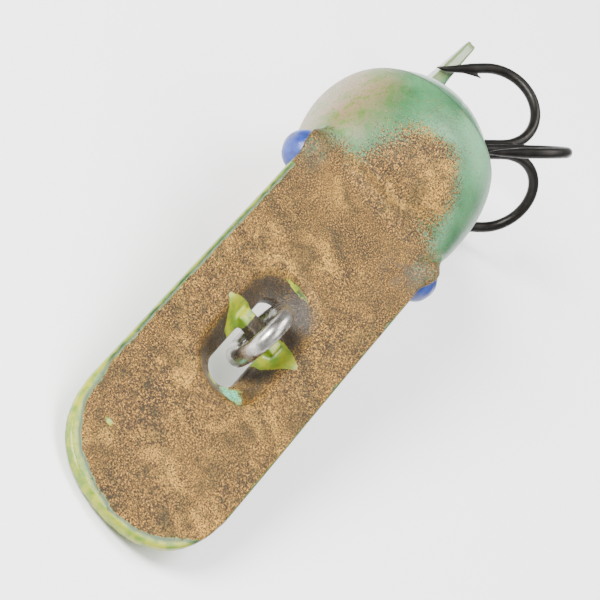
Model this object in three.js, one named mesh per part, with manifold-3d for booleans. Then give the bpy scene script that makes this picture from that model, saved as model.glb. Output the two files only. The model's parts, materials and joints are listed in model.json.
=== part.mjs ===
// A small metal-lipped diving lure: a hollow moulded body under a stamped brass lip and hood,
// with an oval line-tie ring, two stud eyes, a tail fin and a treble hook under the belly.
// Lengths are in millimetres. The lure is built in the frame of its lip: x runs forward to the
// lip's tip, y to the lure's left, z out of the lip's upper face, and the origin lies between
// the eyes. The last lines lay it down on its side, as it rests on a table, with +z up.
import * as THREE from "three";
import { mergeVertices } from "three/addons/utils/BufferGeometryUtils.js";
import Module from "manifold-3d";

const wasm = await Module();
wasm.setup();

// Driving dimensions.
const GAP = 0.3; // clearance between neighbouring pieces
const SHEET = 0.8; // thickness of the brass lip
const LIP_TIP = 33; // x of the lip's tip
const LIP_HALF_WIDTH = 6.35;
const LIP_BACK = -3.2; // x where the tongue runs into the hood
const HEAD_CENTRE = new THREE.Vector3(-10, 0, -5); // centre of the fattest body section
const BODY_SLOPE = THREE.MathUtils.degToRad(28.8); // the body points down behind the lip
const HOOD_THICKNESS = 0.6;
const BRIDGE_X = 13.4; // the lanced bridge that holds the line-tie ring
const BRIDGE_WIDTH = 1.3;
const BRIDGE_Z = -1.05; // middle of the bridge, pressed below the face
const OPENING_HALF_WIDTH = 3.05;
const EYE_CENTRE = new THREE.Vector3(-0.9, 5.9, -1.5); // left eye
const EYE_RADIUS = 1.6;
const PIN_RADIUS = 0.45;
const PIN_LENGTH = 4.6; // from the eye's centre
const TIE_WIRE = 1.25;
const TIE_WIDTH = 5.4;
const TIE_LENGTH = 7.2;
const TIE_LEAN = THREE.MathUtils.degToRad(49); // the ring leans forward over the lip
const HANGER_EYE = new THREE.Vector3(-16.1, 0, -14.3);
const EYE_WIRE = 0.7; // wire of the hanger and of the hook's shank eye
const EYE_MEAN_RADIUS = 1.35;
const SPLIT_RING_RADIUS = 2.05;
const SPLIT_RING_DIRECTION = new THREE.Vector3(-0.98, 0.12, -0.17).normalize();
const SPLIT_RING_TWIST = THREE.MathUtils.degToRad(30);
const HOOK_WIRE = 0.8;
const HOOK_SHANK = 10; // shank eye to the start of the bends
const HOOK_BEND = 3.65; // bend radius, half of the hook's gap
const HOOK_POINT = 4.2; // straight run from the bend to the point
const HOOK_DIRECTION = new THREE.Vector3(-0.694, 0.664, 0.3).normalize();
const HOOK_FIRST = new THREE.Vector3(-0.703, -0.709, -0.061); // where the first bend opens
const LYING_PITCH = THREE.MathUtils.degToRad(16.97);
const LYING_ROLL = THREE.MathUtils.degToRad(6.92);

const X = new THREE.Vector3(1, 0, 0);
const Y = new THREE.Vector3(0, 1, 0);
const Z = new THREE.Vector3(0, 0, 1);
const BODY_AXIS = new THREE.Vector3(-Math.cos(BODY_SLOPE), 0, -Math.sin(BODY_SLOPE));
const BODY_UP = new THREE.Vector3(-Math.sin(BODY_SLOPE), 0, Math.cos(BODY_SLOPE));

// Materials.
const finish = (color, roughness, metalness) =>
  new THREE.MeshStandardMaterial({ color, roughness, metalness });
const BRASS = finish(0x8f6b3c, 0.5, 0.9);
const PLASTIC = finish(0xbfd2c0, 0.35, 0);
const EYE_BLUE = finish(0x2743a0, 0.3, 0);
const STEEL = finish(0xb9b9b4, 0.3, 1);
const HOOK_STEEL = finish(0x3b362c, 0.4, 0.9);
const LEAD = finish(0x6d7075, 0.6, 0.8);

// A closed three.js geometry as a solid, and a solid as a geometry.
function solid(geometry) {
  geometry.deleteAttribute("normal");
  geometry.deleteAttribute("uv");
  const merged = mergeVertices(geometry, 1e-4);
  const vertProperties = merged.getAttribute("position").array;
  const triVerts = new Uint32Array(merged.index.array);
  return new wasm.Manifold(new wasm.Mesh({ numProp: 3, vertProperties, triVerts }));
}

function geometryOf(manifold) {
  const mesh = manifold.getMesh();
  const geometry = new THREE.BufferGeometry();
  geometry.setAttribute("position", new THREE.BufferAttribute(mesh.vertProperties, 3));
  geometry.setIndex(new THREE.BufferAttribute(mesh.triVerts, 1));
  const faceted = geometry.toNonIndexed();
  faceted.computeVertexNormals();
  return faceted;
}

function piece(name, manifold, material) {
  const mesh = new THREE.Mesh(geometryOf(manifold), material);
  mesh.name = name;
  return mesh;
}

function box(from, to) {
  const size = new THREE.Vector3().subVectors(to, from);
  const centre = new THREE.Vector3().addVectors(from, to).multiplyScalar(0.5);
  const geometry = new THREE.BoxGeometry(size.x, size.y, size.z);
  return solid(geometry.translate(centre.x, centre.y, centre.z));
}

// A round bar from one point to another.
function bar(from, to, radius, sides = 12) {
  const along = new THREE.Vector3().subVectors(to, from);
  const geometry = new THREE.CylinderGeometry(radius, radius, along.length(), sides);
  const turn = new THREE.Quaternion().setFromUnitVectors(Y, along.clone().normalize());
  const middle = new THREE.Vector3().addVectors(from, to).multiplyScalar(0.5);
  return solid(geometry.applyQuaternion(turn).translate(middle.x, middle.y, middle.z));
}

function ball(centre, radius, across = 20) {
  const geometry = new THREE.SphereGeometry(radius, across, across / 2);
  return solid(geometry.translate(centre.x, centre.y, centre.z));
}

// A flat outline in x and z, as thick as asked along y and centred on the mirror plane.
function sidePlate(outline, thickness) {
  const shape = new THREE.Shape(outline.map(([x, z]) => new THREE.Vector2(x, z)));
  const geometry = new THREE.ExtrudeGeometry(shape, { depth: thickness, bevelEnabled: false });
  return geometry.translate(0, 0, -thickness / 2).rotateX(Math.PI / 2);
}

// A ring of round wire, with its axis along the given direction.
function wireRing(centre, axis, meanRadius, wire, stretch = 0, longWay = X) {
  const geometry = new THREE.TorusGeometry(meanRadius, wire / 2, 8, 28);
  const position = geometry.getAttribute("position");
  for (let i = 0; i < position.count; i++) {
    const shift = Math.abs(position.getX(i)) < wire ? 0 : Math.sign(position.getX(i)) * stretch;
    position.setX(i, position.getX(i) + shift);
  }
  const across = new THREE.Vector3().crossVectors(axis, longWay);
  const frame = new THREE.Matrix4().makeBasis(longWay, across, axis).setPosition(centre);
  return solid(geometry.applyMatrix4(frame));
}

const CUT_REACH = 40; // longer than any piece it cuts

// The body is a form of revolution about its own axis. Its forehead is lowered towards the
// lip, and its belly is drawn in behind the hook.
const BODY_PROFILE = [
  [0, -10.2], [3.4, -10], [5.4, -9.2], [6.5, -7.5], [7.1, -4], [7.3, 0], [6.7, 3],
  [5.5, 6], [4.1, 9], [2.9, 12], [1.75, 15], [1.05, 18], [0.85, 20.4], [0, 21.2],
];
const CAVITY_PROFILE = [
  [0, -7.8], [3.2, -7.3], [4.9, -5.6], [5.4, -3], [5.6, 0], [5, 3], [3.8, 6], [2.4, 9],
  [1.1, 11.4], [0, 12.2],
];
const FOREHEAD_REACH = 8.8;

function foreheadScale(s) {
  return s < 0 ? Math.sqrt(Math.max(0.04, 1 - (s / FOREHEAD_REACH) ** 2)) : 1;
}

function bellyScale(s) {
  return 1 - 0.15 * THREE.MathUtils.smoothstep(s, 2, 9);
}

function bodyForm(profile, growth) {
  const curve = new THREE.SplineCurve(profile.map(([r, s]) => new THREE.Vector2(r, s)));
  const steps = 2 * profile.length;
  const points = [];
  for (let i = 0; i <= steps; i++) {
    const point = curve.getPoint(i / steps);
    const along = curve.getTangent(i / steps);
    point.x += growth * along.y;
    point.y -= growth * along.x;
    if (i === 0 || i === steps) point.x = 0;
    if (point.x >= 0) points.push(point);
  }
  const geometry = new THREE.LatheGeometry(points, 36);
  const position = geometry.getAttribute("position");
  for (let i = 0; i < position.count; i++) {
    const up = position.getX(i);
    const scale = up > 0 ? foreheadScale(position.getY(i)) : bellyScale(position.getY(i));
    position.setX(i, up * scale);
  }
  const right = Y.clone().negate();
  const frame = new THREE.Matrix4().makeBasis(BODY_UP, BODY_AXIS, right);
  return solid(geometry.applyMatrix4(frame.setPosition(HEAD_CENTRE)));
}

// The side outline of the hood, from behind the eye down the cheek and up over the back.
function hoodOutline(growth) {
  const outline = [
    [-2.2, 5], [-1.8 + growth, -1.6], [-4.6, -6.1 - growth], [-7, -6.6 - growth],
    [-10.4 - growth, -6.2 - growth], [-13.2 - growth, -3.4], [-14.3 - growth, -0.6],
    [-14.6 - growth, 1.6], [-13.5 - growth, 5],
  ];
  return solid(sidePlate(outline, CUT_REACH));
}

function tongueOutline() {
  const corner = 6.1; // the tip's rounding
  const shape = new THREE.Shape();
  shape.moveTo(LIP_BACK, -LIP_HALF_WIDTH);
  shape.lineTo(LIP_TIP - corner - 1, -LIP_HALF_WIDTH);
  shape.bezierCurveTo(
    LIP_TIP - 2, -LIP_HALF_WIDTH, LIP_TIP, -LIP_HALF_WIDTH + 2.6, LIP_TIP, 0,
  );
  shape.bezierCurveTo(
    LIP_TIP, LIP_HALF_WIDTH - 2.6, LIP_TIP - 2, LIP_HALF_WIDTH,
    LIP_TIP - corner - 1, LIP_HALF_WIDTH,
  );
  shape.lineTo(LIP_BACK, LIP_HALF_WIDTH);
  return shape;
}

const mirrored = (point, side) => new THREE.Vector3(point.x, point.y * side, point.z);
const EYE_PIN = new THREE.Vector3(-0.5, -0.7, -0.5).normalize(); // left eye, inwards
const EYE_LOOK = new THREE.Vector3(0.1, 0.8, -0.6).normalize(); // where the left lid opens

// The stamped lip: tongue, bridge, hood and the cup behind each eye.
function divingLip() {
  const flat = { depth: SHEET, bevelEnabled: false, curveSegments: 12 };
  const tongue = new THREE.ExtrudeGeometry(tongueOutline(), flat).translate(0, 0, -SHEET);
  const shell = bodyForm(BODY_PROFILE, HOOD_THICKNESS / 2)
    .subtract(bodyForm(BODY_PROFILE, -HOOD_THICKNESS / 2));
  let lip = solid(tongue).add(shell.intersect(hoodOutline(0)));
  for (const [x, radius] of [[BRIDGE_X - 0.4, 2.1], [BRIDGE_X + 2.2, 3]]) {
    const low = new THREE.Vector3(x, 0, -3);
    lip = lip.subtract(bar(low, new THREE.Vector3(x, 0, 3), radius, 28));
  }
  const notch = BRIDGE_WIDTH / 2 + GAP;
  lip = lip.subtract(box(
    new THREE.Vector3(BRIDGE_X - notch, -OPENING_HALF_WIDTH, -3),
    new THREE.Vector3(BRIDGE_X + notch, OPENING_HALF_WIDTH, 3),
  ));
  lip = lip.add(box(
    new THREE.Vector3(BRIDGE_X - BRIDGE_WIDTH / 2, -OPENING_HALF_WIDTH - 0.6, BRIDGE_Z - SHEET / 2),
    new THREE.Vector3(BRIDGE_X + BRIDGE_WIDTH / 2, OPENING_HALF_WIDTH + 0.6, BRIDGE_Z + SHEET / 2),
  ));
  for (const side of [1, -1]) {
    const centre = mirrored(EYE_CENTRE, side);
    const look = mirrored(EYE_LOOK, side);
    const inside = EYE_RADIUS + GAP;
    const lidEdge = centre.clone().addScaledVector(look, 0.3);
    const lidBack = centre.clone().addScaledVector(look, -2 * inside);
    const lid = ball(centre, inside + HOOD_THICKNESS).intersect(bar(lidEdge, lidBack, 2 * inside, 24));
    const pinEnd = centre.clone().addScaledVector(mirrored(EYE_PIN, side), 2 * PIN_LENGTH);
    lip = lip.add(lid).subtract(ball(centre, inside));
    lip = lip.subtract(bar(centre, pinEnd, PIN_RADIUS + GAP));
  }
  return lip;
}

// One half of the hollow body, with its half of the tail fin. side is 1 for the left.
function bodyHalf(side) {
  const skin = bodyForm(BODY_PROFILE, 0).subtract(hoodOutline(GAP));
  const underHood = bodyForm(BODY_PROFILE, -HOOD_THICKNESS / 2 - GAP);
  let body = underHood.add(skin).add(tailFin()).subtract(bodyForm(CAVITY_PROFILE, 0));
  body = body.subtract(box(
    new THREE.Vector3(LIP_BACK - GAP, -CUT_REACH, -SHEET - GAP),
    new THREE.Vector3(CUT_REACH, CUT_REACH, CUT_REACH),
  ));
  const centre = mirrored(EYE_CENTRE, side);
  const pinEnd = centre.clone().addScaledVector(mirrored(EYE_PIN, side), PIN_LENGTH + 2);
  body = body.subtract(ball(centre, EYE_RADIUS + 2 * GAP + HOOD_THICKNESS));
  body = body.subtract(bar(centre, pinEnd, PIN_RADIUS + GAP));
  body = body.subtract(hangerShape(GAP));
  const inner = new THREE.Vector3(-CUT_REACH, side * GAP / 2, -CUT_REACH);
  const outer = new THREE.Vector3(CUT_REACH, side * CUT_REACH, CUT_REACH);
  return body.intersect(box(inner.clone().min(outer), inner.clone().max(outer)));
}

// The fin flares in height towards the back and thins towards its trailing edge.
function tailFin() {
  const start = 16;
  const outline = [
    [start, -1], [20, -1], [22.6, -2.3], [25, -3.4], [24.3, 0], [25, 3.1], [22.4, 1.5],
    [20, 0.7], [start, 0.8],
  ];
  const points = outline.map(([s, up]) => HEAD_CENTRE.clone()
    .addScaledVector(BODY_AXIS, s).addScaledVector(BODY_UP, up));
  const geometry = sidePlate(points.map((point) => [point.x, point.z]), 1.5);
  const position = geometry.getAttribute("position");
  const point = new THREE.Vector3();
  for (let i = 0; i < position.count; i++) {
    point.fromBufferAttribute(position, i).sub(HEAD_CENTRE);
    const thinning = THREE.MathUtils.mapLinear(point.dot(BODY_AXIS), start, 25, 1, 0.4);
    position.setY(i, position.getY(i) * thinning);
  }
  return solid(geometry);
}

function eyeStud(side) {
  const centre = mirrored(EYE_CENTRE, side);
  const pinEnd = centre.clone().addScaledVector(mirrored(EYE_PIN, side), PIN_LENGTH);
  return ball(centre, EYE_RADIUS).add(bar(centre, pinEnd, PIN_RADIUS));
}

// The screw eye under the belly. growth swells it to make the hole it sits in.
function hangerShape(growth) {
  const eye = wireRing(HANGER_EYE, Y, EYE_MEAN_RADIUS, EYE_WIRE + 2 * growth, 0, X);
  const neck = HANGER_EYE.clone().addScaledVector(BODY_UP, EYE_MEAN_RADIUS);
  const root = HANGER_EYE.clone().addScaledVector(BODY_UP, 6.4 + growth);
  return eye.add(bar(neck, root, EYE_WIRE / 2 + 0.1 + growth));
}

// The split ring is two flat turns of spring wire, drawn as one flat ring.
const SHANK_EYE = HANGER_EYE.clone()
  .addScaledVector(SPLIT_RING_DIRECTION, 2 * SPLIT_RING_RADIUS);
const LEVEL = new THREE.Vector3().crossVectors(Z, SPLIT_RING_DIRECTION).negate().normalize();
const SPLIT_RING_TANGENT = LEVEL.clone()
  .applyAxisAngle(SPLIT_RING_DIRECTION, SPLIT_RING_TWIST);
const SPLIT_RING_AXIS = new THREE.Vector3()
  .crossVectors(SPLIT_RING_DIRECTION, SPLIT_RING_TANGENT);

function splitRing() {
  const [halfWide, halfTall] = [0.25, 0.45];
  const section = [[-1, -1], [1, -1], [1, 1], [-1, 1], [-1, -1]].map(([r, h]) =>
    new THREE.Vector2(SPLIT_RING_RADIUS + r * halfWide, h * halfTall));
  const centre = HANGER_EYE.clone().lerp(SHANK_EYE, 0.5);
  const frame = new THREE.Matrix4()
    .makeBasis(SPLIT_RING_TANGENT, SPLIT_RING_AXIS, SPLIT_RING_DIRECTION);
  return solid(new THREE.LatheGeometry(section, 28).applyMatrix4(frame.setPosition(centre)));
}

// One bend of the hook: out of the shank, round, and back to a tapered point with its barb.
const BEND_START = SHANK_EYE.clone().addScaledVector(HOOK_DIRECTION, HOOK_SHANK);

function hookArm(turn) {
  const out = HOOK_FIRST.clone().normalize().applyAxisAngle(HOOK_DIRECTION, turn);
  const place = (along, away) => BEND_START.clone()
    .addScaledVector(HOOK_DIRECTION, along).addScaledVector(out, away);
  const offset = HOOK_WIRE * 0.55;
  const route = [place(-2.5, offset)];
  const steps = 12;
  for (let i = 0; i <= steps; i++) {
    const angle = Math.PI * i / steps;
    const reach = HOOK_BEND - offset / 2;
    route.push(place(reach * Math.sin(angle), offset + reach * (1 - Math.cos(angle))));
  }
  route.push(place(-HOOK_POINT + 2.2, 2 * HOOK_BEND - 0.1));
  const sides = 8;
  const section = new THREE.Shape();
  section.absarc(0, 0, HOOK_WIRE / 2, 0, 2 * Math.PI, false);
  const wire = new THREE.ExtrudeGeometry(section, {
    steps: 30, curveSegments: sides / 2, bevelEnabled: false,
    extrudePath: new THREE.CatmullRomCurve3(route, false, "centripetal"),
  });
  const pointLength = 2.6;
  const point = new THREE.ConeGeometry(HOOK_WIRE / 2, pointLength, sides);
  const back = HOOK_DIRECTION.clone().negate();
  point.applyQuaternion(new THREE.Quaternion().setFromUnitVectors(Y, back));
  const middle = place(-HOOK_POINT + 2.4 - pointLength / 2, 2 * HOOK_BEND - 0.1);
  point.translate(middle.x, middle.y, middle.z);
  const barb = new THREE.ConeGeometry(0.3, 1.5, 4);
  const barbWay = HOOK_DIRECTION.clone().addScaledVector(out, -0.6).normalize();
  barb.applyQuaternion(new THREE.Quaternion().setFromUnitVectors(Y, barbWay));
  const barbAt = place(-HOOK_POINT + 2.4, 2 * HOOK_BEND - 0.6);
  barb.translate(barbAt.x, barbAt.y, barbAt.z);
  return solid(wire).add(solid(point)).add(solid(barb));
}

function trebleDouble() {
  const hole = SPLIT_RING_TANGENT.clone()
    .addScaledVector(HOOK_DIRECTION, -SPLIT_RING_TANGENT.dot(HOOK_DIRECTION)).normalize();
  const eye = wireRing(SHANK_EYE, hole, EYE_MEAN_RADIUS, EYE_WIRE, 0, HOOK_DIRECTION);
  const neck = SHANK_EYE.clone().addScaledVector(HOOK_DIRECTION, EYE_MEAN_RADIUS);
  const shank = bar(neck, BEND_START, HOOK_WIRE * 0.62);
  return eye.add(shank).add(hookArm(0)).add(hookArm(2 * Math.PI / 3));
}

function trebleSingle(double) {
  const grown = bar(SHANK_EYE.clone().addScaledVector(HOOK_DIRECTION, 2), BEND_START.clone()
    .addScaledVector(HOOK_DIRECTION, 2), HOOK_WIRE * 0.62 + GAP);
  return hookArm(4 * Math.PI / 3).subtract(grown).subtract(double);
}

function ballastWeight() {
  const across = new THREE.Vector3(0, 2.6, 0);
  const centre = HEAD_CENTRE.clone().addScaledVector(BODY_UP, -3.1);
  return bar(centre.clone().sub(across), centre.clone().add(across), 1.7, 20);
}

function lineTieRing() {
  const longWay = new THREE.Vector3(Math.cos(TIE_LEAN), 0, Math.sin(TIE_LEAN));
  const stretch = (TIE_LENGTH - TIE_WIDTH) / 2;
  const centre = new THREE.Vector3(BRIDGE_X, 0, BRIDGE_Z).addScaledVector(longWay, 1.35);
  return wireRing(centre, Y, (TIE_WIDTH - TIE_WIRE) / 2, TIE_WIRE, stretch, longWay);
}

const treble = trebleDouble();
const lure = new THREE.Group();
lure.add(
  piece("diving_lip", divingLip(), BRASS),
  piece("body_left_half", bodyHalf(1), PLASTIC),
  piece("body_right_half", bodyHalf(-1), PLASTIC),
  piece("eye_left", eyeStud(1), EYE_BLUE),
  piece("eye_right", eyeStud(-1), EYE_BLUE),
  piece("line_tie_ring", lineTieRing(), STEEL),
  piece("belly_hanger", hangerShape(0), STEEL),
  piece("split_ring", splitRing(), STEEL),
  piece("treble_double_hook", treble, HOOK_STEEL),
  piece("treble_single_hook", trebleSingle(treble), HOOK_STEEL),
  piece("ballast_weight", ballastWeight(), LEAD),
);

// The lure lies on its side: the lip's edge and the hook touch the table.
lure.rotation.set(LYING_ROLL, LYING_PITCH, 0, "YXZ");
const model = new THREE.Group();
model.add(lure);
model.updateMatrixWorld(true);
const extent = new THREE.Box3().setFromObject(model, true);
const middle = extent.getCenter(new THREE.Vector3());
lure.position.set(-middle.x, -middle.y, -extent.min.z);

export default model;
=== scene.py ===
"""A metal-lipped diving lure: worn brass lip and hood, pearl and green body, dark treble hook."""
import json
import math

import bmesh
import bpy
import numpy as np
from mathutils import Matrix, Vector, noise


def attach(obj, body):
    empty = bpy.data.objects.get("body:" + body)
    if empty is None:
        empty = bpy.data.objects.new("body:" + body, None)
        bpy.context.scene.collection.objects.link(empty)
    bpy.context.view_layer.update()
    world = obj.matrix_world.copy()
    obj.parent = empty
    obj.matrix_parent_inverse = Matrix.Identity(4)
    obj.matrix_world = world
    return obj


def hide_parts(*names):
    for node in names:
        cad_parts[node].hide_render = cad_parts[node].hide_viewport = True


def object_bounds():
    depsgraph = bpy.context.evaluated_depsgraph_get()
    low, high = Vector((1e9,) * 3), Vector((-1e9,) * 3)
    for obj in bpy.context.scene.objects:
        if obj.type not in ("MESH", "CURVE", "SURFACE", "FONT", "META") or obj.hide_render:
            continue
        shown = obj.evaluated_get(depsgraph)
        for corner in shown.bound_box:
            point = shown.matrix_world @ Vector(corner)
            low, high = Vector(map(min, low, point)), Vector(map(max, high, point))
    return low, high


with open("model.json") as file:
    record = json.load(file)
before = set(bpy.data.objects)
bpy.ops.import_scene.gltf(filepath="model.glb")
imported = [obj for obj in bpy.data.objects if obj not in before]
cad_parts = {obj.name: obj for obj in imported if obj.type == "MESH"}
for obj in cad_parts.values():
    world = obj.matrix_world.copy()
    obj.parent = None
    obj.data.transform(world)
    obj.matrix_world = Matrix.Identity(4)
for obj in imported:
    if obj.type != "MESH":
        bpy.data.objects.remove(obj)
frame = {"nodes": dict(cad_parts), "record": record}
cad_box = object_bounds()

MM = 0.001
GAP = 0.02  # left round the eyes and behind the tongue

# Driving dimensions in millimetres, in the lip's own frame: x to the tip, y to the lure's left,
# z out of the lip's upper face, with the origin between the eyes.
SHEET = 0.8
LIP_TIP = 33.0
LIP_HALF_WIDTH = 6.35
LIP_BACK = -3.2
HEAD_CENTRE = Vector((-10, 0, -5))
BODY_SLOPE = math.radians(28.8)
LID_THICKNESS = 0.32
LID_EDGE = -0.1  # where the lid stops, measured along the eye's look
HOOD_OUTER = -0.05  # how far the hood's faces and the body's skin lie from the driving form;
HOOD_INNER = -1.7   # the hood's inner part is sunk into the solid body, where it is not seen
BODY_SKIN = -0.4
BRIDGE = Vector((13.4, 0, -1.05))
BRIDGE_WIDTH = 1.3
EYE_CENTRE = Vector((-0.9, 5.9, -1.5))
EYE_RADIUS = 1.6
TIE_WIRE = 1.25
TIE_WIDTH = 5.4
TIE_LENGTH = 7.2
TIE_LEAN = math.radians(49)
TIE_RISE = 1.35  # from the bridge to the middle of the ring
HANGER_EYE = Vector((-16.1, 0, -14.3))
EYE_WIRE = 0.7
EYE_MEAN_RADIUS = 1.35
SPLIT_RING_RADIUS = 2.05
SPLIT_RING_WIRE = 0.45
HANGER_STEM = 4.9
RING_STEPS = 64
SPLIT_RING_DIRECTION = Vector((-0.98, 0.12, -0.17)).normalized()
SPLIT_RING_TWIST = math.radians(30)
HOOK_WIRE = 0.8
HOOK_SHANK = 10.0
HOOK_BEND = 3.65
HOOK_POINT = 4.2
HOOK_DIRECTION = Vector((-0.694, 0.664, 0.3)).normalized()
HOOK_FIRST = Vector((-0.703, -0.709, -0.061)).normalized()
LYING_PITCH = math.radians(16.97)
LYING_ROLL = math.radians(6.92)

BODY_AXIS = Vector((-math.cos(BODY_SLOPE), 0, -math.sin(BODY_SLOPE)))
BODY_UP = Vector((-math.sin(BODY_SLOPE), 0, math.cos(BODY_SLOPE)))

# The lip's frame in the model: turned as the lure lies, and placed by the line-tie joint.
TURN = Matrix.Rotation(LYING_PITCH, 3, "Y") @ Matrix.Rotation(LYING_ROLL, 3, "X")


def joint_place(name):
    """The place of a joint, in metres, from the record in the frame."""
    for joint in frame["record"]["behaviour"]["joints"]:
        if joint["name"] == name:
            return Vector(joint["pos_m"])
    raise ValueError(name)


ORIGIN = joint_place("tie_ring_swing") - TURN @ BRIDGE * MM
LURE = Matrix.Translation(ORIGIN) @ TURN.to_4x4() @ Matrix.Scale(MM, 4)


# ---------------------------------------------------------------- mesh helpers

def new_object(name, vertices, faces):
    mesh = bpy.data.meshes.new(name)
    mesh.from_pydata([tuple(v) for v in vertices], [], faces)
    mesh.update()
    obj = bpy.data.objects.new(name, mesh)
    bpy.context.collection.objects.link(obj)
    return obj


def apply_modifiers(obj):
    """Bakes the object's modifiers into its mesh."""
    graph = bpy.context.evaluated_depsgraph_get()
    mesh = bpy.data.meshes.new_from_object(obj.evaluated_get(graph))
    obj.modifiers.clear()
    obj.data = mesh
    return obj


def boolean(obj, other, operation):
    """Cuts or adds other, which is used up."""
    modifier = obj.modifiers.new("boolean", "BOOLEAN")
    modifier.operation = operation
    modifier.solver = "EXACT"
    modifier.object = other
    apply_modifiers(obj)
    bpy.data.objects.remove(other, do_unlink=True)
    return obj


def remesh(obj, voxel, smoothing=0):
    """Rebuilds the surface on an even grid, so joined forms blend."""
    modifier = obj.modifiers.new("remesh", "REMESH")
    modifier.mode = "VOXEL"
    modifier.voxel_size = voxel
    modifier.use_smooth_shade = True
    if smoothing:
        smooth = obj.modifiers.new("smooth", "SMOOTH")
        smooth.factor = 0.5
        smooth.iterations = smoothing
    return apply_modifiers(obj)


def vertex_array(obj):
    coordinates = np.zeros(len(obj.data.vertices) * 3, np.float32)
    obj.data.vertices.foreach_get("co", coordinates)
    return coordinates.reshape(-1, 3).astype(float)


def set_vertices(obj, array):
    obj.data.vertices.foreach_set("co", array.astype(np.float32).ravel())
    obj.data.update()


def smooth_near(obj, weight, iterations):
    """Relaxes the mesh where weight, one value per vertex, is above zero."""
    group = obj.vertex_groups.new(name="relax")
    for level in np.linspace(0.1, 1, 10):
        chosen = np.nonzero(np.abs(weight - level) <= 0.05)[0]
        group.add([int(i) for i in chosen], float(level), "REPLACE")
    modifier = obj.modifiers.new("relax", "SMOOTH")
    modifier.factor = 0.5
    modifier.iterations = iterations
    modifier.vertex_group = "relax"
    apply_modifiers(obj)


def paint(obj, name, values):
    """Stores one number per vertex for the material to read."""
    layer = obj.data.attributes.new(name, "FLOAT", "POINT")
    layer.data.foreach_set("value", np.asarray(values, np.float32))


def finish_piece(obj, material, body, nodes=()):
    place = obj.data.attributes.new("place", "FLOAT_VECTOR", "POINT")
    place.data.foreach_set("vector", vertex_array(obj).astype(np.float32).ravel())
    obj.data.transform(LURE)
    for polygon in obj.data.polygons:
        polygon.use_smooth = True
    obj.data.materials.clear()
    obj.data.materials.append(material)
    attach(obj, body)
    if nodes:
        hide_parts(*nodes)
    return obj


def prism(name, outline, low, high, axis):
    """A straight-sided solid: outline points in the plane across axis, from low to high."""
    count = len(outline)
    place = {"y": lambda p, h: (p[0], h, p[1]), "z": lambda p, h: (p[0], p[1], h)}[axis]
    vertices = [place(p, low) for p in outline] + [place(p, high) for p in outline]
    faces = [tuple(range(count)), tuple(range(count, 2 * count))]
    faces += [(i, (i + 1) % count, count + (i + 1) % count, count + i) for i in range(count)]
    obj = new_object(name, vertices, faces)
    fix_normals(obj)
    return obj


def fix_normals(obj):
    work = bmesh.new()
    work.from_mesh(obj.data)
    bmesh.ops.recalc_face_normals(work, faces=work.faces)
    work.to_mesh(obj.data)
    work.free()


def block(name, low, high):
    outline = [(low[0], low[1]), (high[0], low[1]), (high[0], high[1]), (low[0], high[1])]
    return prism(name, outline, low[2], high[2], "z")


def sphere(name, centre, radius, scale=(1, 1, 1)):
    work = bmesh.new()
    bmesh.ops.create_uvsphere(work, u_segments=40, v_segments=24, radius=radius)
    bmesh.ops.transform(work, matrix=Matrix.Translation(centre) @ Matrix.Diagonal((*scale, 1)),
                        verts=work.verts)
    mesh = bpy.data.meshes.new(name)
    work.to_mesh(mesh)
    work.free()
    obj = bpy.data.objects.new(name, mesh)
    bpy.context.collection.objects.link(obj)
    return obj


def spline(points, count):
    """Catmull-Rom points through the given ones."""
    points = [Vector(p) for p in points]
    padded = [points[0] * 2 - points[1], *points, points[-1] * 2 - points[-2]]
    out = []
    for k in range(count + 1):
        t = k / count * (len(points) - 1)
        i = min(int(t), len(points) - 2)
        u = t - i
        a, b, c, d = padded[i:i + 4]
        out.append(0.5 * (2 * b + (c - a) * u + (2 * a - 5 * b + 4 * c - d) * u * u
                          + (3 * b - a - 3 * c + d) * u ** 3))
    return out


def sweep(name, path, radii, sides=16, closed=False, start=None):
    """A round wire along a path, with its own radius at each point."""
    count = len(path)
    tangents = []
    for i in range(count):
        before = path[(i - 1) % count] if closed else path[max(i - 1, 0)]
        after = path[(i + 1) % count] if closed else path[min(i + 1, count - 1)]
        tangents.append((after - before).normalized())
    side = start or tangents[0].orthogonal()
    vertices = []
    for point, tangent, radius in zip(path, tangents, radii):
        side = (side - tangent * side.dot(tangent)).normalized()
        other = tangent.cross(side)
        for k in range(sides):
            angle = 2 * math.pi * k / sides
            vertices.append(point + (side * math.cos(angle) + other * math.sin(angle)) * radius)
    faces = []
    for i in range(count if closed else count - 1):
        j = (i + 1) % count
        for k in range(sides):
            m = (k + 1) % sides
            faces.append((i * sides + k, i * sides + m, j * sides + m, j * sides + k))
    if not closed:
        faces.append(tuple(range(sides)))
        faces.append(tuple((count - 1) * sides + k for k in range(sides)))
    obj = new_object(name, vertices, faces)
    fix_normals(obj)
    return obj


def join(name, objects):
    work = bmesh.new()
    for obj in objects:
        work.from_mesh(obj.data)
        bpy.data.objects.remove(obj, do_unlink=True)
    mesh = bpy.data.meshes.new(name)
    work.to_mesh(mesh)
    work.free()
    obj = bpy.data.objects.new(name, mesh)
    bpy.context.collection.objects.link(obj)
    return obj


# ---------------------------------------------------------------- node helpers

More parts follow.
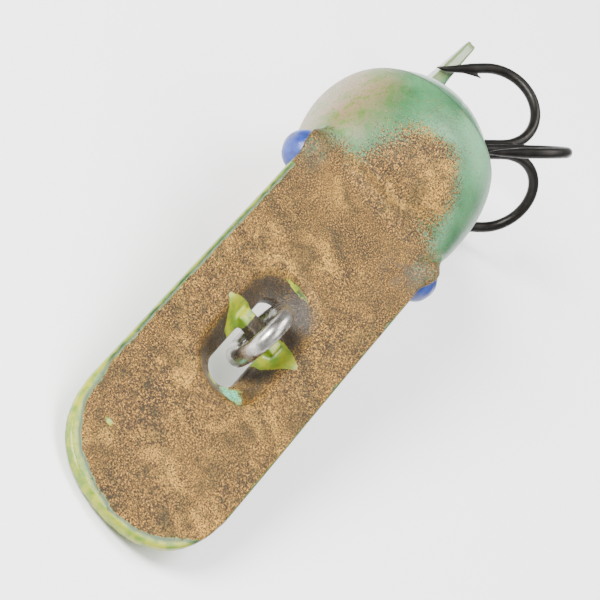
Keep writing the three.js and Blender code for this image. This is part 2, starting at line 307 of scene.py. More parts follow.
class Nodes:
    """A short way to write a material's node tree."""

    def __init__(self, name):
        self.material = bpy.data.materials.new(name)
        self.material.use_nodes = True
        self.tree = self.material.node_tree
        self.shader = self.tree.nodes["Principled BSDF"]

    def add(self, kind, inputs=None, **settings):
        node = self.tree.nodes.new(kind)
        for key, value in settings.items():
            setattr(node, key, value)
        for key, value in (inputs or {}).items():
            self.put(node.inputs[key], value)
        return node

    def put(self, socket, value):
        if isinstance(value, bpy.types.NodeSocket):
            self.tree.links.new(value, socket)
        else:
            socket.default_value = value

    def set(self, **inputs):
        for key, value in inputs.items():
            self.put(self.shader.inputs[key.replace("_", " ")], value)

    def attribute(self, name):
        node = self.add("ShaderNodeAttribute", attribute_name=name)
        return node.outputs["Vector"] if name == "place" else node.outputs["Fac"]

    def noise(self, scale, detail=3.0, roughness=0.55, distortion=0.0):
        node = self.add("ShaderNodeTexNoise", {
            "Vector": self.attribute("place"), "Scale": scale, "Detail": detail,
            "Roughness": roughness, "Distortion": distortion})
        return node.outputs["Fac"]

    def ramp(self, value, low, high, first=0.0, last=1.0):
        node = self.add("ShaderNodeMapRange", {
            "Value": value, "From Min": low, "From Max": high, "To Min": first, "To Max": last})
        return node.outputs["Result"]

    def math(self, operation, first, second=0.0):
        node = self.add("ShaderNodeMath", {0: first, 1: second}, operation=operation)
        return node.outputs[0]

    def mix(self, factor, first, second):
        node = self.add("ShaderNodeMix", data_type="RGBA")
        self.put(node.inputs["Factor"], factor)
        self.put(node.inputs[6], first)
        self.put(node.inputs[7], second)
        return node.outputs[2]

    def bump(self, height, strength, distance):
        node = self.add("ShaderNodeBump", {
            "Height": height, "Strength": strength, "Distance": distance})
        self.put(self.shader.inputs["Normal"], node.outputs["Normal"])


def srgb(red, green, blue):
    """A colour given as 0-255 screen values, in the linear values that shaders use."""
    def linear(c):
        c /= 255
        return c / 12.92 if c <= 0.04045 else ((c + 0.055) / 1.055) ** 2.4
    return linear(red), linear(green), linear(blue), 1.0


# ---------------------------------------------------------------- materials

def brass_material():
    """Worn, pitted brass with green overspray and a painted rim, grime and painted shade in its
    recesses, and a painted highlight and painted shade on the spray.
    """
    n = Nodes("worn_brass")
    patches = n.noise(0.2, 4.0, 0.62, 0.6)
    tone = n.mix(n.ramp(patches, 0.38, 0.62), srgb(54, 38, 12), srgb(98, 70, 24))
    tarnish = n.ramp(n.noise(0.11, 3.0, 0.55, 0.9), 0.5, 0.66)
    tone = n.mix(n.math("MULTIPLY", tarnish, 0.5), tone, srgb(46, 30, 18))
    grain = n.noise(8.5, 2.0, 0.8)
    tone = n.mix(n.ramp(grain, 0.53, 0.66), tone, srgb(178, 130, 46))
    tone = n.mix(n.ramp(grain, 0.48, 0.38), tone, srgb(20, 12, 3))
    gold = n.math("MULTIPLY", n.ramp(n.noise(0.3, 3.0, 0.6, 0.8), 0.54, 0.68), n.ramp(grain, 0.4, 0.6))
    tone = n.mix(n.math("MULTIPLY", gold, 0.6), tone, srgb(204, 154, 58))
    olive = n.ramp(n.noise(0.42, 4.0, 0.65, 0.5), 0.5, 0.66)
    tone = n.mix(n.math("MULTIPLY", olive, 0.62), tone, srgb(36, 30, 8))
    pits = n.ramp(n.noise(1.6, 4.0, 0.7), 0.62, 0.7)
    tone = n.mix(n.math("MULTIPLY", pits, n.ramp(grain, 0.62, 0.42)), tone, srgb(30, 22, 14))
    # Painted shade, with some grime: darker brown in the slot's slopes, under the ring and round the
    # lids.
    grime_and_shade = n.attribute("grime_and_shade")
    grime_and_shade_noise = n.ramp(n.noise(3.4, 3.0, 0.7), 0.3, 0.6, 0.7, 1.0)
    tone = n.mix(n.math("MULTIPLY", grime_and_shade, grime_and_shade_noise), tone, srgb(30, 22, 12))
    scratch = n.attribute("scratch")
    tone = n.mix(scratch, tone, srgb(38, 26, 14))
    # Green spray: thin at its edge, where the grain shows through as specks.
    spray = n.attribute("spray")
    broken = n.math("ADD", spray, n.ramp(n.noise(5.6, 2.0, 0.75), 0.35, 0.65, -0.4, 0.4))
    cover = n.ramp(broken, 0.3, 0.85)
    greens = n.mix(n.ramp(n.noise(0.35, 3.0), 0.35, 0.65), srgb(26, 82, 42), srgb(52, 108, 66))
    # Painted highlight: a pale green patch mixed into the spray.
    greens = n.mix(n.attribute("painted_highlight"), greens, srgb(112, 158, 124))
    streaks = n.mix(n.ramp(n.noise(0.8, 4.0, 0.6, 1.2), 0.46, 0.58), srgb(116, 98, 66),
                    srgb(84, 98, 28))
    greens = n.mix(n.attribute("beige"), greens, streaks)
    # A dark green line at the hood's rim, and painted shade darkening the spray towards the hood's +y
    # side.
    greens = n.mix(n.attribute("rim_line_and_painted_shade"), greens, srgb(6, 58, 30))
    tone = n.mix(cover, tone, greens)
    # Yellow-green paint left round the edge of the lip and beside the bridge.
    rim = n.attribute("rim")
    rim_cover = n.ramp(n.math("ADD", rim, n.ramp(n.noise(2.2, 4.0, 0.7), 0.3, 0.7, -0.3, 0.3)),
                       0.42, 0.58)
    lime = n.mix(n.ramp(n.noise(1.3, 3.0), 0.4, 0.62), srgb(136, 140, 10), srgb(84, 112, 12))
    lime = n.mix(n.attribute("rim_dark"), lime, srgb(8, 50, 14))
    specks = n.mix(n.ramp(grain, 0.45, 0.6), srgb(24, 104, 72), srgb(120, 196, 160))
    lime = n.mix(n.attribute("teal"), lime, specks)
    tone = n.mix(rim_cover, tone, lime)
    n.set(Base_Color=tone)
    painted = n.math("MAXIMUM", cover, rim_cover)
    n.set(Metallic=n.ramp(n.math("MAXIMUM", painted, grime_and_shade), 0, 1, 0.5, 0.0))
    n.set(Roughness=n.math("ADD", n.ramp(grain, 0.35, 0.7, 0.54, 0.36),
                           n.ramp(painted, 0, 1, 0.0, -0.08)))
    height = n.math("MULTIPLY", n.ramp(grain, 0.3, 0.7), n.ramp(painted, 0, 1, 1.0, 0.2))
    height = n.math("SUBTRACT", height, n.math("MULTIPLY", pits, 0.8))
    height = n.math("SUBTRACT", height, scratch)
    n.bump(height, 0.4, 0.00008)
    return n.material


def body_material():
    """Pearl white belly, pink cheek and green back under clear lacquer, with a painted highlight on
    the tail fin's right flank and painted shade on its left.
    """
    n = Nodes("pearl_body")
    green = n.attribute("green")
    cloud = n.ramp(n.noise(0.6, 3.0), 0.3, 0.7, -0.12, 0.12)
    factor = n.ramp(n.math("ADD", green, cloud), 0.15, 0.85)
    tone = n.mix(factor, srgb(232, 230, 220), srgb(34, 92, 54))
    tone = n.mix(n.attribute("pink"), tone, srgb(214, 160, 154))
    # Painted light on the tail fin: lighter olive as a painted highlight on its right flank, dark
    # green as painted shade on its left flank.
    tone = n.mix(n.attribute("olive"), tone, srgb(96, 108, 66))
    tone = n.mix(n.attribute("edge"), tone, srgb(8, 66, 38))
    mist = n.ramp(n.noise(7.0, 2.0, 0.7), 0.58, 0.7, 0.0, 0.35)
    tone = n.mix(n.math("MULTIPLY", mist, factor), tone, srgb(30, 84, 50))
    n.set(Base_Color=tone, Metallic=0.0)
    n.set(Roughness=n.ramp(n.noise(1.2, 4.0), 0.3, 0.7, 0.3, 0.42))
    n.shader.inputs["Coat Weight"].default_value = 0.35
    n.shader.inputs["Coat Roughness"].default_value = 0.12
    n.bump(n.noise(2.4, 4.0), 0.12, 0.00006)
    return n.material


def eye_material():
    n = Nodes("blue_eye_paint")
    tone = n.mix(n.ramp(n.noise(1.4, 3.0), 0.35, 0.68), srgb(14, 34, 104), srgb(34, 62, 140))
    chips = n.ramp(n.noise(3.4, 4.0, 0.7), 0.66, 0.7)
    tone = n.mix(chips, tone, srgb(96, 112, 160))
    tone = n.mix(n.attribute("crease"), tone, srgb(22, 34, 84))
    n.set(Base_Color=tone, Metallic=0.0)
    n.set(Roughness=n.ramp(n.noise(2.0, 3.0), 0.3, 0.7, 0.28, 0.44))
    n.bump(n.noise(3.0, 4.0), 0.2, 0.00006)
    return n.material


def wire_material(name, light, dark, metallic, low, high):
    """Drawn wire: fine streaks, small pits and a patchy finish."""
    n = Nodes(name)
    tone = n.mix(n.ramp(n.noise(1.1, 4.0, 0.6), 0.35, 0.68), light, dark)
    spots = n.ramp(n.noise(4.5, 4.0, 0.7), 0.62, 0.7)
    tone = n.mix(n.math("MULTIPLY", spots, 0.7), tone, dark)
    n.set(Base_Color=tone, Metallic=metallic)
    n.set(Roughness=n.ramp(n.noise(2.6, 4.0), 0.3, 0.7, low, high))
    n.bump(n.noise(5.0, 3.0), 0.18, 0.00005)
    return n.material


# ---------------------------------------------------------------- the body

BODY_PROFILE = [
    (0, -10.2), (3.4, -10), (5.4, -9.2), (6.5, -7.5), (7.1, -4), (7.3, 0), (6.7, 3),
    (5.5, 6), (4.1, 9), (2.9, 12), (1.75, 15), (1.05, 18), (0.85, 20.4), (0, 21.2),
]
FOREHEAD_REACH = 8.8


def smoothstep(x, low, high):
    t = np.clip((np.asarray(x, float) - low) / (high - low), 0, 1)
    return t * t * (3 - 2 * t)


def forehead_scale(s):
    """How high the body stands above its axis at the front, as a share of its radius."""
    return math.sqrt(max(0.04, 1 - (s / FOREHEAD_REACH) ** 2)) if s < 0 else 1.0


def body_form(name, growth, rings=90, around=96):
    """The body's form of revolution, lowered at the forehead and drawn in behind the belly."""
    profile = spline([(r, s, 0) for r, s in BODY_PROFILE], rings)
    vertices, faces = [], []
    for i, point in enumerate(profile):
        before = profile[max(i - 1, 0)]
        after = profile[min(i + 1, rings)]
        along = (after - before).normalized()
        radius = max(point.x + growth * along.y, 0.001)
        s = point.y - growth * along.x
        for k in range(around):
            angle = 2 * math.pi * k / around
            up = radius * math.cos(angle)
            scale = forehead_scale(s) if up > 0 else 1 - 0.15 * float(smoothstep(s, 2, 9))
            place = HEAD_CENTRE + BODY_AXIS * s + BODY_UP * up * scale
            vertices.append(place + Vector((0, radius * math.sin(angle), 0)))
    for i in range(rings):
        for k in range(around):
            m = (k + 1) % around
            faces.append((i * around + k, i * around + m,
                          (i + 1) * around + m, (i + 1) * around + k))
    faces.append(tuple(range(around)))
    faces.append(tuple(rings * around + k for k in range(around)))
    obj = new_object(name, vertices, faces)
    fix_normals(obj)
    return obj


def tail_fin():
    """The wedge-shaped fin at the end of the tail, in the mirror plane."""
    start, end = 16, 25.6
    outline = [(start, -1), (20, -1.1), (22.6, -2.5), (end, -3.8), (24.9, 0), (end, 3.9),
               (22.4, 2.0), (20, 0.9), (start, 0.8)]
    trailing = spline([(s, up, 0) for s, up in outline[2:7]], 40)
    curve = [outline[0], outline[1], *[(p.x, p.y) for p in trailing], *outline[7:]]
    points = [HEAD_CENTRE + BODY_AXIS * s + BODY_UP * up for s, up in curve]
    fin = prism("fin", [(p.x, p.z) for p in points], -0.8, 0.8, "y")
    for vertex in fin.data.vertices:
        s = (vertex.co - HEAD_CENTRE).dot(BODY_AXIS)
        vertex.co.y *= 1 - 0.5 * (s - start) / (end - start)
    return fin


def body_coordinates(array):
    """Each point's place along the body and above its axis."""
    offset = array - np.array(HEAD_CENTRE)
    return offset @ np.array(BODY_AXIS), offset @ np.array(BODY_UP)


def make_body(material):
    body = body_form("moulded_body", BODY_SKIN)
    boolean(body, tail_fin(), "UNION")
    seat = block("seat", (LIP_BACK - GAP, -9, -SHEET - GAP), (12, 9, 9))
    boolean(body, seat, "DIFFERENCE")
    remesh(body, 0.17, 4)
    array = vertex_array(body)
    s, up = body_coordinates(array)
    # The moulding seam runs round the mirror plane, as a fine groove.
    seam = np.exp(-(array[:, 1] / 0.12) ** 2)
    away = array - (np.array(HEAD_CENTRE) + np.outer(s, np.array(BODY_AXIS)))
    length = np.maximum(np.linalg.norm(away, axis=1), 0.3)[:, None]
    array -= away / length * seam[:, None] * 0.07
    set_vertices(body, array)
    side = array[:, 1]
    rim = hood_rim_distance(array[:, 0], array[:, 2])
    back = smoothstep(up + 0.3 * s - 0.35 * np.abs(side), 0.0, 4.0)
    near_rim = 0.9 * np.exp(-(rim / 0.7) ** 2) * smoothstep(-array[:, 0], 9.5, 12.0)
    paint(body, "green", np.clip(np.maximum(back, near_rim), 0, 1))
    paint(body, "pink", 0.6 * np.exp(-((s + 4) / 4) ** 2) * smoothstep(-up, -1, 4))
    # The fin's right flank gets a lighter olive painted highlight, and its left flank dark green
    # painted shade.
    paint(body, "olive", 0.8 * smoothstep(s, 15, 18) * smoothstep(-side + 0.3 * up, -0.3, 0.6))
    paint(body, "edge", smoothstep(s, 13.5, 17) * smoothstep(side - 0.2 * up, -0.2, 0.4))
    return finish_piece(body, material, "lure",
                        ("body_left_half", "body_right_half"))


# ---------------------------------------------------------------- the lip

HOOD_RIM = [  # from the front of the cheek, under the flank and up over the back
    (-1.8, -1.6), (-2.8, -4.2), (-4.6, -6.2), (-7.2, -6.3), (-9.8, -5.7), (-11.6, -3.6),
    (-12.3, -0.9), (-12.2, 1.4), (-11.8, 3.0), (-11.4, 5),
]
RIM_CURVE = [(p.x, p.y) for p in spline([(x, z, 0) for x, z in HOOD_RIM], 60)]
HOOD_OUTLINE = [(0.8, 5), (0.8, -0.5), *RIM_CURVE]


def bezier(a, b, c, d, count):
    """Points of a cubic curve, without its last point."""
    out = []
    for k in range(count):
        t = k / count
        u = 1 - t
        out.append(tuple(u ** 3 * a[i] + 3 * u * u * t * b[i] + 3 * u * t * t * c[i]
                         + t ** 3 * d[i] for i in range(2)))
    return out


def tongue_outline():
    """The tongue seen from above: straight sides and a round tip."""
    wide, shoulder = LIP_HALF_WIDTH, LIP_TIP - 7.1
    lower = bezier((shoulder, -wide), (LIP_TIP - 2, -wide), (LIP_TIP, -wide + 2.6),
                   (LIP_TIP, 0), 24)
    upper = bezier((LIP_TIP, 0), (LIP_TIP, wide - 2.6), (LIP_TIP - 2, wide),
                   (shoulder, wide), 24)
    return [(LIP_BACK, -wide), *lower, *upper, (shoulder, wide), (LIP_BACK, wide)]


SLOT_CENTRE = 14.3
SLOT_HALF_LENGTH = 3.0
SLOT_HALF_WIDTH = 1.2
DRAW_DEPTH = 1.5
DRAW_REACH = 2.1


def slot_distance(x, y):
    """How far each point of the sheet is outside the slot that the tie ring swings in."""
    return np.hypot(np.clip(np.abs(x - SLOT_CENTRE) - SLOT_HALF_LENGTH, 0, None), y) - SLOT_HALF_WIDTH


def make_tongue():
    """The flat of the lip, pierced by a slot whose edges are drawn down all round."""
    tongue = prism("stamped_lip", tongue_outline(), -SHEET, 0, "z")
    outline = []
    for k in range(64):
        angle = 2 * math.pi * k / 64
        shift = math.copysign(SLOT_HALF_LENGTH, math.cos(angle))
        outline.append((SLOT_CENTRE + shift + SLOT_HALF_WIDTH * math.cos(angle),
                        SLOT_HALF_WIDTH * math.sin(angle)))
    boolean(tongue, prism("slot", outline, -4, 4, "z"), "DIFFERENCE")
    remesh(tongue, 0.18, 1)
    array = vertex_array(tongue)
    away = slot_distance(array[:, 0], array[:, 1])
    array[:, 2] -= DRAW_DEPTH * (1 - smoothstep(away, -0.2, DRAW_REACH))
    set_vertices(tongue, array)
    return tongue


def eye_lid(side):
    """The cup of brass that covers the inner part of one eye."""
    centre = Vector((EYE_CENTRE.x, EYE_CENTRE.y * side, EYE_CENTRE.z))
    look = Vector((0.1, 0.8 * side, -0.6)).normalized()
    lid = sphere("lid", centre, EYE_RADIUS + LID_THICKNESS)
    boolean(lid, sphere("hollow", centre, EYE_RADIUS + GAP), "DIFFERENCE")
    frame_turn = look.to_track_quat("Z", "Y").to_matrix().to_4x4()
    cutter = block("cutter", (-4, -4, LID_EDGE), (4, 4, 6))
    cutter.data.transform(Matrix.Translation(centre) @ frame_turn)
    return boolean(lid, cutter, "DIFFERENCE"), centre


def make_lip(material):
    """One sheet: tongue, bridge, hood and eye lids."""
    hood = body_form("hood", HOOD_OUTER)
    boolean(hood, body_form("inside", HOOD_INNER), "DIFFERENCE")
    boolean(hood, prism("outline", HOOD_OUTLINE, -20, 20, "y"), "INTERSECT")
    lip = make_tongue()
    half, reach = BRIDGE_WIDTH / 2, SLOT_HALF_WIDTH + 0.5
    boolean(lip, block("bridge", (BRIDGE.x - half, -reach, BRIDGE.z - SHEET / 2),
                       (BRIDGE.x + half, reach, BRIDGE.z + SHEET / 2)), "UNION")
    boolean(lip, hood, "UNION")
    centres = []
    for side in (1, -1):
        lid, centre = eye_lid(side)
        boolean(lip, sphere("socket", centre, EYE_RADIUS + GAP), "DIFFERENCE")
        boolean(lip, lid, "UNION")
        centres.append(centre)
    remesh(lip, 0.14, 2)
    shape_lip(lip)
    paint_lip(lip, centres)
    return finish_piece(lip, material, "lure", ("diving_lip",))


def shape_lip(lip):
    """Blends the hood into the tongue, and leaves the sheet a little uneven."""
    x, y, z = vertex_array(lip).T
    blend = smoothstep(x, -9, -5) * smoothstep(-x, -2.5, 1) * smoothstep(z, -2.0, -0.8)
    smooth_near(lip, blend, 45)
    x, y, z = vertex_array(lip).T
    wave = 0.05 * np.sin(x * 0.31 + 0.8) + 0.04 * np.sin(y * 0.7 + x * 0.12)
    z = z + np.where(x > 2, wave * smoothstep(x, 2, 8), 0)
    set_vertices(lip, np.stack([x, y, z], axis=1))


def ripple(x, y, scale, seed):
    """A smooth random value for each vertex."""
    return np.array([noise.noise((a * scale + seed, b * scale, seed)) for a, b in zip(x, y)])


SCRATCHES = [  # from x, y to x, y on the lip's face, and half the width
    (22.4, -1.6, 20.6, 1.4, 0.06), (8.2, 2.2, 6.4, 5.0, 0.06), (19.5, 1.1, 19.3, 1.9, 0.08),
    (17.2, -3.8, 16.0, -3.9, 0.06), (2.2, 3.4, 0.4, 5.1, 0.05), (27.5, -2.4, 25.8, -1.9, 0.04),
    (24.6, 2.6, 24.1, 4.4, 0.04), (-3.1, 1.0, -1.4, 2.0, 0.05), (11.4, -4.6, 10.6, -3.3, 0.04),
    (5.0, -1.8, 4.2, -0.6, 0.04), (29.2, 1.2, 28.0, 2.0, 0.04),
]


FOREHEAD = np.array((0.646, 0.064, 0.76))  # where the hood is worn back to brass
LEFT_OUT = np.array((0.28, -0.91, 0.24))  # the flank with a beige, thinly sprayed patch
# The direction, from the head's centre, of the pale green painted highlight on the hood.
HIGHLIGHT_FACING = np.array((-0.34, 0.5, 0.8))


def spot(x, y, centre_x, centre_y, wide, high):
    """A soft oval patch."""
    return np.exp(-(((x - centre_x) / wide) ** 2 + ((y - centre_y) / high) ** 2))


def paint_lip(lip, centres):
    """Paints the rim, the spray with its painted highlight and painted shade, the worn brass, grime
    and painted shade in the recesses, and the scratches.
    """
    array = vertex_array(lip)
    x, y, z = array.T
    wander = ripple(x, y, 0.35, 3.1)
    fine = ripple(x, y, 1.3, 8.4)
    upper = z > -0.35
    side_gap = LIP_HALF_WIDTH - np.abs(y)
    corner = np.hypot(np.clip(x - (LIP_TIP - 6.2), 0, None), y * 0.98)
    tip_gap = np.where(x > LIP_TIP - 6.2, 6.3 - corner, 9.0)
    inward = np.minimum(side_gap, tip_gap)
    # The painted band is wide round the tip, thin up one side and a bare line up the other.
    round_tip = smoothstep(x, 24, 28.5)
    width = np.where(y < 0, 0.1 + 0.42 * round_tip, -0.1 + 0.5 * smoothstep(x, 28.5, 31))
    width = width * (1 + 0.5 * wander) + 0.1 * fine
    on_tongue = x > 1.8
    edge = smoothstep(-inward, -width - 0.14, -width + 0.06) * on_tongue
    # The two leaves of bright paint on the slopes beside the bridge.
    slope = (slot_distance(x, y) < DRAW_REACH + 0.1) & (x > 9) & (x < 20)
    edge = np.where(upper | slope, edge, on_tongue * 1.0)
    line = np.exp(-((inward - width - 0.12) / 0.15) ** 2) * on_tongue * upper
    leaf_width = 1.55 * np.clip((3.5 - np.abs(y)) / 1.7, 0, 1)
    leaf = smoothstep(leaf_width - np.abs(x - 13.8), -0.1, 0.12) * (np.abs(y) > 1.0) * slope
    bridge = (np.abs(x - BRIDGE.x) < 0.75) & (np.abs(y) <= 1.2)
    lime_spot = spot(x, y, 18.6, -0.2, 0.6, 0.5)
    teal_spot = spot(x, y, 18.9, 1.3, 1.0, 0.85)
    fleck = spot(x, y, 28.2, -3.6, 0.25, 0.35)
    rim = np.maximum.reduce([edge, leaf, bridge * 0.25, lime_spot, teal_spot, fleck, line * 0.9])
    paint(lip, "rim", np.clip(rim, 0, 1))
    dark = line * 1.1 + np.where((y > 0) & (x < 28), edge * 0.85, 0) + 0.35 * leaf * (y > 0)
    paint(lip, "rim_dark", np.clip(dark, 0, 1))
    paint(lip, "teal", np.clip(teal_spot * 1.2, 0, 1))
    # Green spray covers the hood beyond the worn forehead.
    from_head = array - np.array(HEAD_CENTRE)
    from_head /= np.linalg.norm(from_head, axis=1)[:, None]
    on_hood = smoothstep(-x, 1.2, 4.2)
    facing = from_head @ FOREHEAD + 0.05 * wander
    spray = (1 - smoothstep(facing, 0.84, 0.985)) * on_hood
    bare = smoothstep(from_head @ LEFT_OUT, 0.62, 0.93)
    near_eye = sum(np.exp(-((x - c.x - 0.2) ** 2 + (y - c.y) ** 2 + (z - c.z - 0.5) ** 2) / 4.2)
                   for c in centres)
    paint(lip, "spray", np.clip(spray + 0.45 * near_eye * (side_gap < 1.6), 0, 1))
    paint(lip, "beige", np.clip(bare * on_hood * (1 - 0.35 * wander), 0, 1))
    # A dark green line along the hood's rim, and painted shade: the hood darker towards its +y side.
    rim_line = np.exp(-(hood_rim_distance(x, z) / 0.3) ** 2) * on_hood
    paint(lip, "rim_line_and_painted_shade", np.clip(rim_line + 0.3 * smoothstep(y, 3.5, 6.5) * on_hood, 0, 1))
    # Painted highlight: pale green on the hood's spray where it faces that direction.
    paint(lip, "painted_highlight", smoothstep(from_head @ HIGHLIGHT_FACING, 0.8, 0.97) * on_hood * 0.6)
    # Painted shade, with some grime: darker brown on the slopes of the opening and on the bridge under
    # the ring, round the lids, and in a patch by the right lid.
    grime_and_shade = 0.92 * slope * (1 - leaf) * smoothstep(-z, 0.1, 0.6) * (1 - teal_spot) * (1 - lime_spot)
    dark_patch = 0.5 * spot(x, y, 1.2, 4.6, 2.0, 1.4) * (fine > -0.05)
    grime_and_shade = grime_and_shade + 0.55 * near_eye * (side_gap < 1.8) + dark_patch + 0.5 * bridge
    paint(lip, "grime_and_shade", np.clip(grime_and_shade, 0, 0.95))
    scratch = np.zeros(len(x))
    for x0, y0, x1, y1, half in SCRATCHES:
        run = np.array([x1 - x0, y1 - y0])
        t = np.clip(((x - x0) * run[0] + (y - y0) * run[1]) / (run @ run), 0, 1)
        gap = np.hypot(x - x0 - t * run[0], y - y0 - t * run[1])
        scratch = np.maximum(scratch, np.exp(-(gap / (half * 1.6)) ** 2))
    paint(lip, "scratch", scratch * (z > -0.6) * 0.8)


def hood_rim_distance(x, z):
    """How far each point is, seen from the side, from the hood's lower and back edge."""
    best = np.full(len(x), 9.0)
    for (x0, z0), (x1, z1) in zip(RIM_CURVE, RIM_CURVE[1:]):
        run = np.array([x1 - x0, z1 - z0])
        t = np.clip(((x - x0) * run[0] + (z - z0) * run[1]) / (run @ run), 0, 1)
        best = np.minimum(best, np.hypot(x - x0 - t * run[0], z - z0 - t * run[1]))
    return best


# ---------------------------------------------------------------- the small pieces

def make_eye(side, material):
    centre = Vector((EYE_CENTRE.x, EYE_CENTRE.y * side, EYE_CENTRE.z))
    name = "eye_dome_left" if side > 0 else "eye_dome_right"
    eye = sphere(name, centre, EYE_RADIUS)
    array = vertex_array(eye)
    offset = array - np.array(centre)
    crease = np.exp(-((offset[:, 0] - 0.35 + 0.3 * offset[:, 2]) / 0.16) ** 2)
    array -= offset * crease[:, None] * 0.03
    set_vertices(eye, array)
    paint(eye, "crease", crease * 0.8)
    node = "eye_left" if side > 0 else "eye_right"
    return finish_piece(eye, material, "lure", (node,))


def oval(centre, long_way, across, half_long, half_wide, count=40):
    """A closed path of two half circles joined by two straight runs."""
    stretch = half_long - half_wide
    path = []
    for end, begin in ((1, -0.5 * math.pi), (-1, 0.5 * math.pi)):
        for k in range(count + 1):
            angle = begin + math.pi * k / count
            path.append(centre + long_way * (half_wide * math.cos(angle) + stretch * end)
                        + across * half_wide * math.sin(angle))
        last = path[-1]
        path += [last - long_way * end * 2 * stretch * k / 8 for k in range(1, 8)]
    return path


def make_tie_ring(material):
    """The oval steel ring round the bridge."""
    long_way = Vector((math.cos(TIE_LEAN), 0, math.sin(TIE_LEAN)))
    across = Vector((0, 1, 0)).cross(long_way)
    centre = BRIDGE + long_way * TIE_RISE
    path = oval(centre, long_way, across, (TIE_LENGTH - TIE_WIRE) / 2, (TIE_WIDTH - TIE_WIRE) / 2)
    radii = [TIE_WIRE / 2 * (1 + 0.012 * math.sin(7 * k * 0.13)) for k in range(len(path))]
    ring = sweep("tie_ring_wire", path, radii, 24, closed=True)
    return finish_piece(ring, material, "tie_ring", ("line_tie_ring",))


def ring_path(centre, axis, radius, count=RING_STEPS, start=0.0, turns=1.0, pitch=0.0):
    first = axis.orthogonal().normalized()
    second = axis.cross(first)
    path = []
    for k in range(count):
        angle = start + 2 * math.pi * turns * k / (count if turns == 1.0 else count - 1)
        path.append(centre + first * radius * math.cos(angle) + second * radius * math.sin(angle)
                    + axis * pitch * (k / (count - 1) - 0.5))
    return path


LEVEL = -Vector((0, 0, 1)).cross(SPLIT_RING_DIRECTION).normalized()
RING_TANGENT = Matrix.Rotation(SPLIT_RING_TWIST, 3, SPLIT_RING_DIRECTION) @ LEVEL
RING_AXIS = SPLIT_RING_DIRECTION.cross(RING_TANGENT)
SHANK_EYE = HANGER_EYE + SPLIT_RING_DIRECTION * 2 * SPLIT_RING_RADIUS
BEND_START = SHANK_EYE + HOOK_DIRECTION * HOOK_SHANK


def make_split_ring(material):
    """Two close turns of spring wire."""
    centre = (HANGER_EYE + SHANK_EYE) / 2
    count = 130
    path = ring_path(centre, RING_AXIS, SPLIT_RING_RADIUS, count, 0.9, 1.98, 0.45)
    radii = [SPLIT_RING_WIRE / 2] * count
    ring = sweep("split_ring_coil", path, radii, 14)
    return finish_piece(ring, material, "ring", ("split_ring",))


def make_hanger(material):
    """The screw eye under the belly."""
    eye = sweep("eye", ring_path(HANGER_EYE, Vector((0, 1, 0)), EYE_MEAN_RADIUS),
                [EYE_WIRE / 2] * RING_STEPS, 16, closed=True)
    neck = HANGER_EYE + BODY_UP * EYE_MEAN_RADIUS
    stem = [neck + BODY_UP * (HANGER_STEM * k / 40) for k in range(41)]
    threads = [0.42 + 0.06 * math.sin(k * 1.6) for k in range(41)]
    hanger = join("belly_screw_eye", [eye, sweep("stem", stem, threads, 16)])
    remesh(hanger, 0.07, 2)
    return finish_piece(hanger, material, "lure", ("belly_hanger",))


def hook_arm(name, turn):
    """One bend: from along the shank, round, and back to a ground point with its barb."""
    out = Matrix.Rotation(turn, 3, HOOK_DIRECTION) @ HOOK_FIRST
    out = (out - HOOK_DIRECTION * out.dot(HOOK_DIRECTION)).normalized()
    plane = HOOK_DIRECTION.cross(out)

    def place(along, away):
        return BEND_START + HOOK_DIRECTION * along + out * away

    offset = HOOK_WIRE * 0.5
    reach = HOOK_BEND - offset / 2
    route = [place(-HOOK_SHANK + 2.2, offset * 0.9), place(-5, offset), place(-2.5, offset)]
    steps = 12
    for k in range(steps + 1):
        angle = math.pi * k / steps
        route.append(place(reach * math.sin(angle), offset + reach * (1 - math.cos(angle))))
    route += [place(-1.4, 2 * HOOK_BEND - 0.06), place(-HOOK_POINT + 0.9, 2 * HOOK_BEND - 0.12),
              place(-HOOK_POINT - 0.2, 2 * HOOK_BEND + 0.04)]
    path = spline(route, 150)
    radii = []
    for k in range(len(path)):
        left = (len(path) - 1 - k) / (len(path) - 1)
        radii.append(HOOK_WIRE * 0.55 * min(1, 0.05 + (left / 0.12) ** 0.8) * (0.97 if k > 40 else 1))
    wire = sweep(name, path, radii, 18)
    root = place(-HOOK_POINT + 2.9, 2 * HOOK_BEND - 0.12)
    spur = place(-HOOK_POINT + 3.7, 2 * HOOK_BEND - 1.0)
    cut = place(-HOOK_POINT + 1.2, 2 * HOOK_BEND - 0.15)
    half = 0.13
    outline = [cut, spur, root]
    vertices = [p + plane * half * (0.25 if p is spur else 1) for p in outline]
    vertices += [p - plane * half * (0.25 if p is spur else 1) for p in outline]
    barb = new_object(name + "_barb", vertices, [
        (0, 1, 2), (5, 4, 3), (0, 3, 4, 1), (1, 4, 5, 2), (2, 5, 3, 0)])
    fix_normals(barb)
    return [wire, barb]


def make_treble(material):
    """The hook: two points on one wire, and the third beside it."""
    hole = (RING_TANGENT - HOOK_DIRECTION * RING_TANGENT.dot(HOOK_DIRECTION)).normalized()
    eye = sweep("shank_eye", ring_path(SHANK_EYE, hole, EYE_MEAN_RADIUS),
                [EYE_WIRE / 2] * RING_STEPS, 16, closed=True)
    first = SHANK_EYE + HOOK_DIRECTION * EYE_MEAN_RADIUS
    shank = sweep("shank", spline([first, first.lerp(BEND_START, 0.5), BEND_START], 30),
                  [HOOK_WIRE * (0.52 - 0.1 * (k / 30)) for k in range(31)], 18)
    parts = [eye, shank]
    for turn in (0, 2 * math.pi / 3):
        parts += hook_arm("arm", turn)
    double = join("treble_two_points", parts)
    remesh(double, 0.075, 2)
    finish_piece(double, material, "treble", ("treble_double_hook",))
    single = join("treble_third_point", hook_arm("arm", 4 * math.pi / 3))
    remesh(single, 0.075, 2)
    finish_piece(single, material, "treble", ("treble_single_hook",))


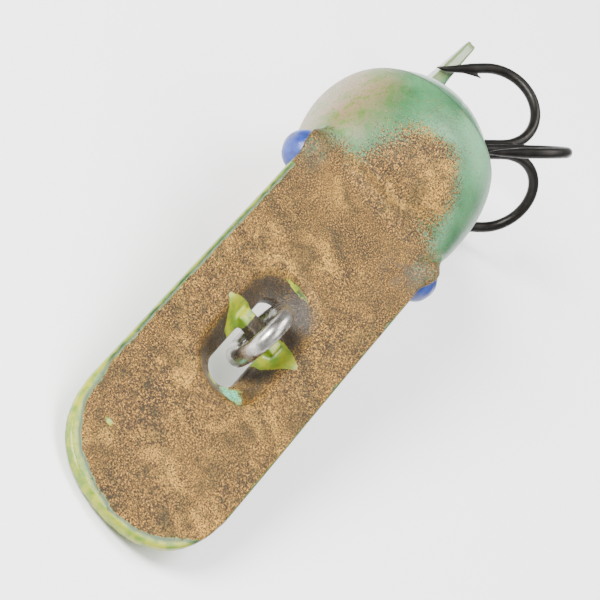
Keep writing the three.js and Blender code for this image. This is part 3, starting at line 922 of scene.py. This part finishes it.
def dress_ballast():
    n = Nodes("cast_lead")
    place = n.add("ShaderNodeTexCoord").outputs["Object"]
    grain = n.add("ShaderNodeTexNoise", {"Vector": place, "Scale": 900.0}).outputs["Fac"]
    n.set(Base_Color=n.mix(grain, srgb(92, 94, 98), srgb(132, 134, 138)), Metallic=0.7)
    n.set(Roughness=n.ramp(grain, 0.3, 0.7, 0.5, 0.7))
    weight = frame["nodes"]["ballast_weight"]
    weight.data.materials.clear()
    weight.data.materials.append(n.material)


# ---------------------------------------------------------------- stage

def make_floor():
    n = Nodes("floor_paper")
    place = n.add("ShaderNodeTexCoord").outputs["Object"]
    fibre = n.add("ShaderNodeTexNoise", {"Vector": place, "Scale": 60.0}).outputs["Fac"]
    n.set(Base_Color=n.mix(fibre, (0.93, 0.93, 0.93, 1), (0.95, 0.95, 0.95, 1)))
    n.set(Roughness=0.9)
    size = 3.0
    floor = new_object("floor", [(-size, -size, 0), (size, -size, 0), (size, size, 0),
                                 (-size, size, 0)], [(0, 1, 2, 3)])
    floor.location.z = cad_box[0][2] - 0.0002
    floor.data.materials.append(n.material)


def add_light(name, place, size, watts, look_at=(0, 0, 0.008)):
    lamp = bpy.data.lights.new(name, "AREA")
    lamp.shape = "DISK"
    lamp.size = size
    lamp.energy = watts
    obj = bpy.data.objects.new(name, lamp)
    bpy.context.collection.objects.link(obj)
    obj.location = place
    direction = Vector(look_at) - Vector(place)
    obj.rotation_euler = direction.to_track_quat("-Z", "Y").to_euler()


def make_lights():
    world = bpy.data.worlds.new("soft_room")
    world.use_nodes = True
    world.node_tree.nodes["Background"].inputs["Color"].default_value = (1, 1, 1, 1)
    world.node_tree.nodes["Background"].inputs["Strength"].default_value = 0.7
    bpy.context.scene.world = world
    add_light("key", (0.22, -0.28, 0.24), 0.16, 6.0)
    add_light("fill", (0.05, 0.25, 0.40), 0.34, 1.8)
    add_light("back", (-0.12, 0.02, 0.42), 0.26, 2.6)


CAMERA_AWAY = 200.0  # millimetres from the point between the eyes
LENS = 174.0
CAMERA_ASIDE = (-4.55, -5.86)  # where the lens points, to the picture's left of and below the eyes
SIGHT = Vector((0.65, -0.148, 0.745)).normalized()
PICTURE_UP = Vector((-0.5711, -0.7428, 0.350))


def make_camera():
    back = (TURN @ SIGHT).normalized()
    right = (TURN @ PICTURE_UP).cross(back).normalized()
    up = back.cross(right)
    place = ORIGIN + (right * CAMERA_ASIDE[0] + up * CAMERA_ASIDE[1] + back * CAMERA_AWAY) * MM
    data = bpy.data.cameras.new("camera")
    data.lens = LENS
    data.sensor_width = 36.0
    data.clip_start = 0.01
    camera = bpy.data.objects.new("camera", data)
    bpy.context.collection.objects.link(camera)
    turn = Matrix((right, up, back)).transposed().to_4x4()
    camera.matrix_world = Matrix.Translation(place) @ turn
    bpy.context.scene.camera = camera


def build():
    make_camera()
    make_floor()
    make_lights()
    steel = wire_material("bright_wire", srgb(188, 186, 180), srgb(110, 106, 98), 1.0, 0.2, 0.38)
    bronze = wire_material("bronzed_wire", srgb(26, 23, 19), srgb(10, 9, 8), 0.7, 0.3, 0.48)
    make_lip(brass_material())
    make_body(body_material())
    blue = eye_material()
    for side in (1, -1):
        make_eye(side, blue)
    make_tie_ring(steel)
    make_hanger(steel)
    make_split_ring(steel)
    make_treble(bronze)
    dress_ballast()


build()
